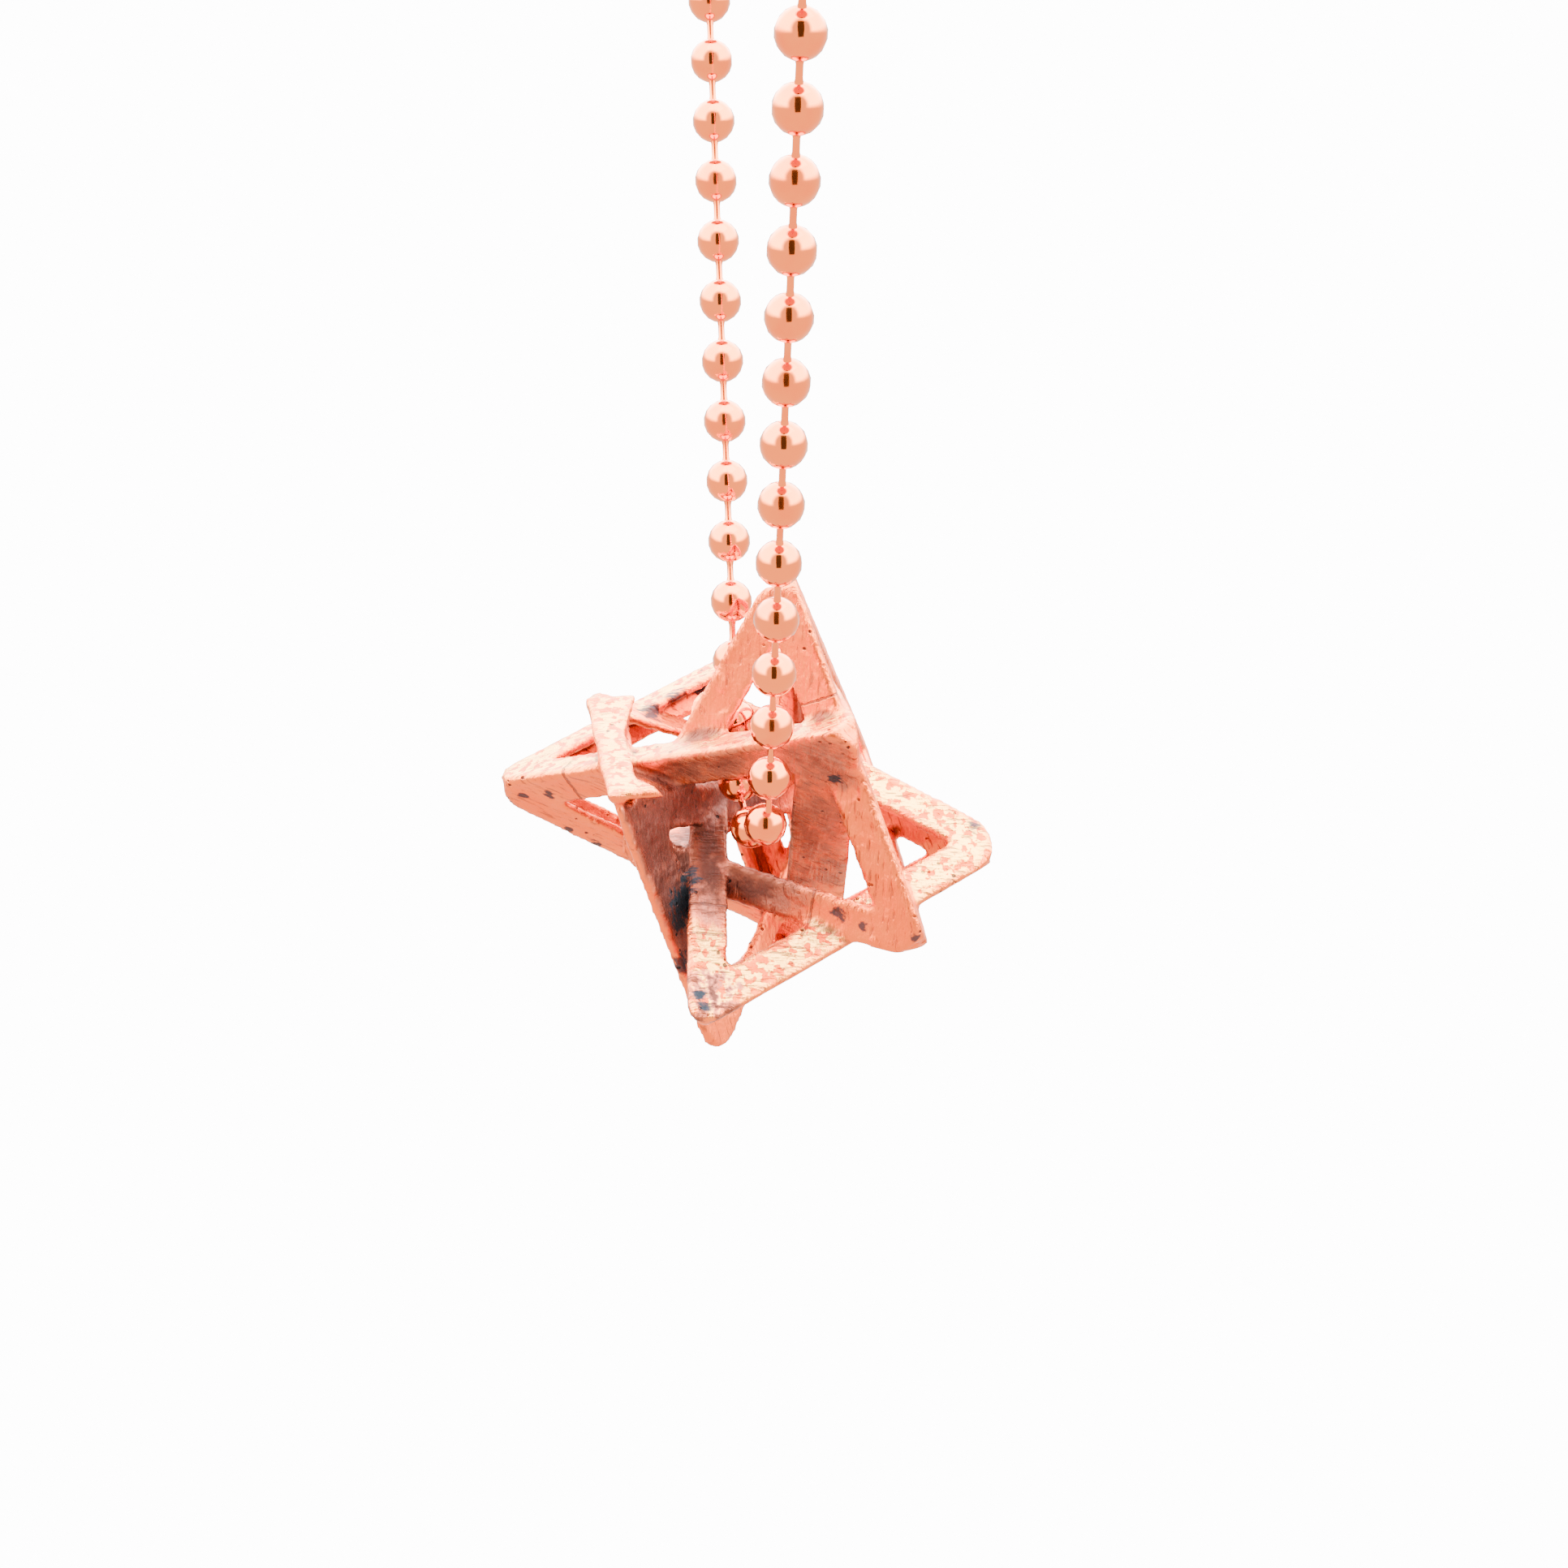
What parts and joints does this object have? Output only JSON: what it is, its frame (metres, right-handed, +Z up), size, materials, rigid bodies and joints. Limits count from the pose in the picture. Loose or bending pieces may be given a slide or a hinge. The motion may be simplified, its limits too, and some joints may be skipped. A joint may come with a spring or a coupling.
{
  "type": "star pendant necklace",
  "caption": "Open three-dimensional star pendant of crossing triangular frames, threaded on a closed loop of ball chain.",
  "frame": {"origin": "the inside of the top of the chain loop, where a peg or a neck carries it", "axes": "+Z up; the loop lies in the YZ plane; the star hangs at the bottom with its front towards -Y"},
  "size_m": [0.0283, 0.1318, 0.2721],
  "materials": {
    "rose_gold": "cast and brushed, worn",
    "rose_gold_polished": "mirror polish"
  },
  "bodies": {
    "root": {"star_frame": "rose_gold", "ball_chain": "rose_gold_polished", "chain_wire": "rose_gold_polished", "chain_connector": "rose_gold_polished"}
  },
  "joints": []
}
